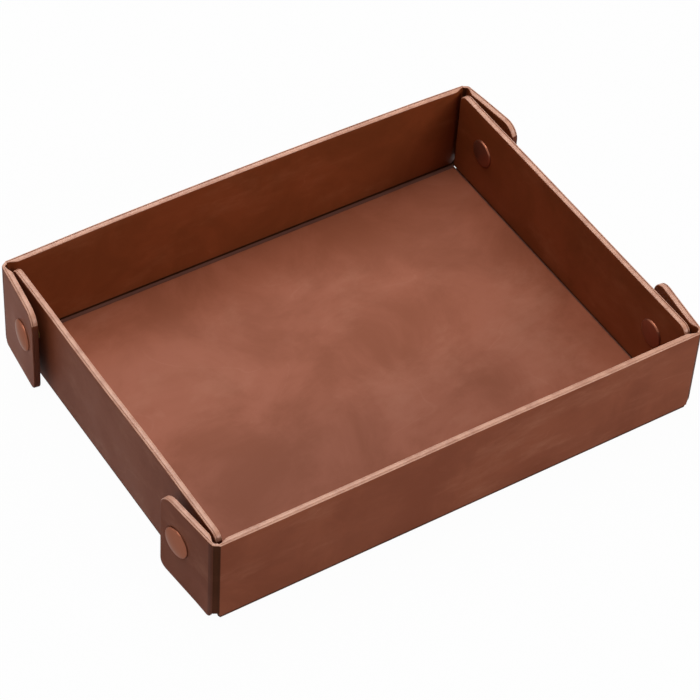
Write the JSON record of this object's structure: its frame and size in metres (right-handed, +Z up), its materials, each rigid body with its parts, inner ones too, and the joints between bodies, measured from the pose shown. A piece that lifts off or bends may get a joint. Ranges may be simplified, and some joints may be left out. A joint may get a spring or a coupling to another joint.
{
  "type": "valet tray",
  "caption": "Shallow rectangular leather catch-all tray with stiffened walls that fold flat, held up at the corners by wrap-around tabs and press studs.",
  "frame": {"origin": "on the table, under the middle of the tray's floor", "axes": "+X along the long walls, +Y from the front wall to the back wall, +Z up from the table to the rim"},
  "size_m": [0.2588, 0.19, 0.049],
  "materials": {
    "outer_leather": "waxed pull-up leather, warm brown, faint scuffs, soft sheen",
    "lining_leather": "reddish-brown waxed leather lining, lightly mottled, satin",
    "stiffener_board": "bonded leather board between the leathers, edges painted tan, matte",
    "cap_enamel": "brown enamelled snap cap, satin, slightly domed",
    "stud_metal": "antique brass snap works, burnished",
    "spring_steel": "bare spring wire"
  },
  "bodies": {
    "base": {"floor_skin": "outer_leather", "floor_board": "stiffener_board", "floor_lining": "lining_leather", "front_crease": "outer_leather", "back_crease": "outer_leather", "left_crease": "outer_leather", "right_crease": "outer_leather"},
    "front_wall": {"front_skin": "outer_leather", "front_board": "stiffener_board", "front_lining": "lining_leather", "front_left_crease": "outer_leather", "front_right_crease": "outer_leather"},
    "back_wall": {"back_skin": "outer_leather", "back_board": "stiffener_board", "back_lining": "lining_leather", "back_left_crease": "outer_leather", "back_right_crease": "outer_leather"},
    "left_end": {"left_skin": "outer_leather", "left_board": "stiffener_board", "left_lining": "lining_leather", "front_left_stud": "stud_metal", "front_left_inner_cap": "cap_enamel", "back_left_stud": "stud_metal", "back_left_inner_cap": "cap_enamel"},
    "right_end": {"right_skin": "outer_leather", "right_board": "stiffener_board", "right_lining": "lining_leather", "front_right_stud": "stud_metal", "front_right_inner_cap": "cap_enamel", "back_right_stud": "stud_metal", "back_right_inner_cap": "cap_enamel"},
    "front_left_tab": {"front_left_tab_skin": "outer_leather", "front_left_tab_board": "stiffener_board", "front_left_tab_lining": "lining_leather", "front_left_cap": "cap_enamel", "front_left_socket": "stud_metal", "front_left_spring": "spring_steel"},
    "front_right_tab": {"front_right_tab_skin": "outer_leather", "front_right_tab_board": "stiffener_board", "front_right_tab_lining": "lining_leather", "front_right_cap": "cap_enamel", "front_right_socket": "stud_metal", "front_right_spring": "spring_steel"},
    "back_left_tab": {"back_left_tab_skin": "outer_leather", "back_left_tab_board": "stiffener_board", "back_left_tab_lining": "lining_leather", "back_left_cap": "cap_enamel", "back_left_socket": "stud_metal", "back_left_spring": "spring_steel"},
    "back_right_tab": {"back_right_tab_skin": "outer_leather", "back_right_tab_board": "stiffener_board", "back_right_tab_lining": "lining_leather", "back_right_cap": "cap_enamel", "back_right_socket": "stud_metal", "back_right_spring": "spring_steel"}
  },
  "joints": [
    {"name": "front_wall_fold", "type": "hinge", "parent": "base", "child": "front_wall", "pos_m": [0, -0.0918, 0.0034], "axis": [1, 0, 0], "range_deg": [0, 86], "deforming": ["front_crease"]},
    {"name": "back_wall_fold", "type": "hinge", "parent": "base", "child": "back_wall", "pos_m": [0, 0.0918, 0.0034], "axis": [-1, 0, 0], "range_deg": [0, 86], "deforming": ["back_crease"]},
    {"name": "left_end_fold", "type": "hinge", "parent": "base", "child": "left_end", "pos_m": [-0.1181, 0, 0.0034], "axis": [0, 1, 0], "range_deg": [0, 86], "deforming": ["left_crease"]},
    {"name": "right_end_fold", "type": "hinge", "parent": "base", "child": "right_end", "pos_m": [0.1181, 0, 0.0034], "axis": [0, -1, 0], "range_deg": [0, 86], "deforming": ["right_crease"]},
    {"name": "front_left_tab_fold", "type": "hinge", "parent": "front_wall", "child": "front_left_tab", "pos_m": [-0.1218, -0.0918, 0.0245], "axis": [0, 0, 1], "range_deg": [0, 83.5], "deforming": ["front_left_crease", "front_left_spring"]},
    {"name": "front_right_tab_fold", "type": "hinge", "parent": "front_wall", "child": "front_right_tab", "pos_m": [0.1218, -0.0918, 0.0245], "axis": [0, 0, -1], "range_deg": [0, 83.5], "deforming": ["front_right_crease", "front_right_spring"]},
    {"name": "back_left_tab_fold", "type": "hinge", "parent": "back_wall", "child": "back_left_tab", "pos_m": [-0.1218, 0.0918, 0.0245], "axis": [0, 0, -1], "range_deg": [0, 83.5], "deforming": ["back_left_crease", "back_left_spring"]},
    {"name": "back_right_tab_fold", "type": "hinge", "parent": "back_wall", "child": "back_right_tab", "pos_m": [0.1218, 0.0918, 0.0245], "axis": [0, 0, 1], "range_deg": [0, 83.5], "deforming": ["back_right_crease", "back_right_spring"]}
  ],
  "couplings": [
    {"joint": "front_left_tab_fold", "follows": "front_wall_fold", "ratio": 0.97093},
    {"joint": "front_right_tab_fold", "follows": "front_wall_fold", "ratio": 0.97093},
    {"joint": "back_left_tab_fold", "follows": "back_wall_fold", "ratio": 0.97093},
    {"joint": "back_right_tab_fold", "follows": "back_wall_fold", "ratio": 0.97093}
  ]
}
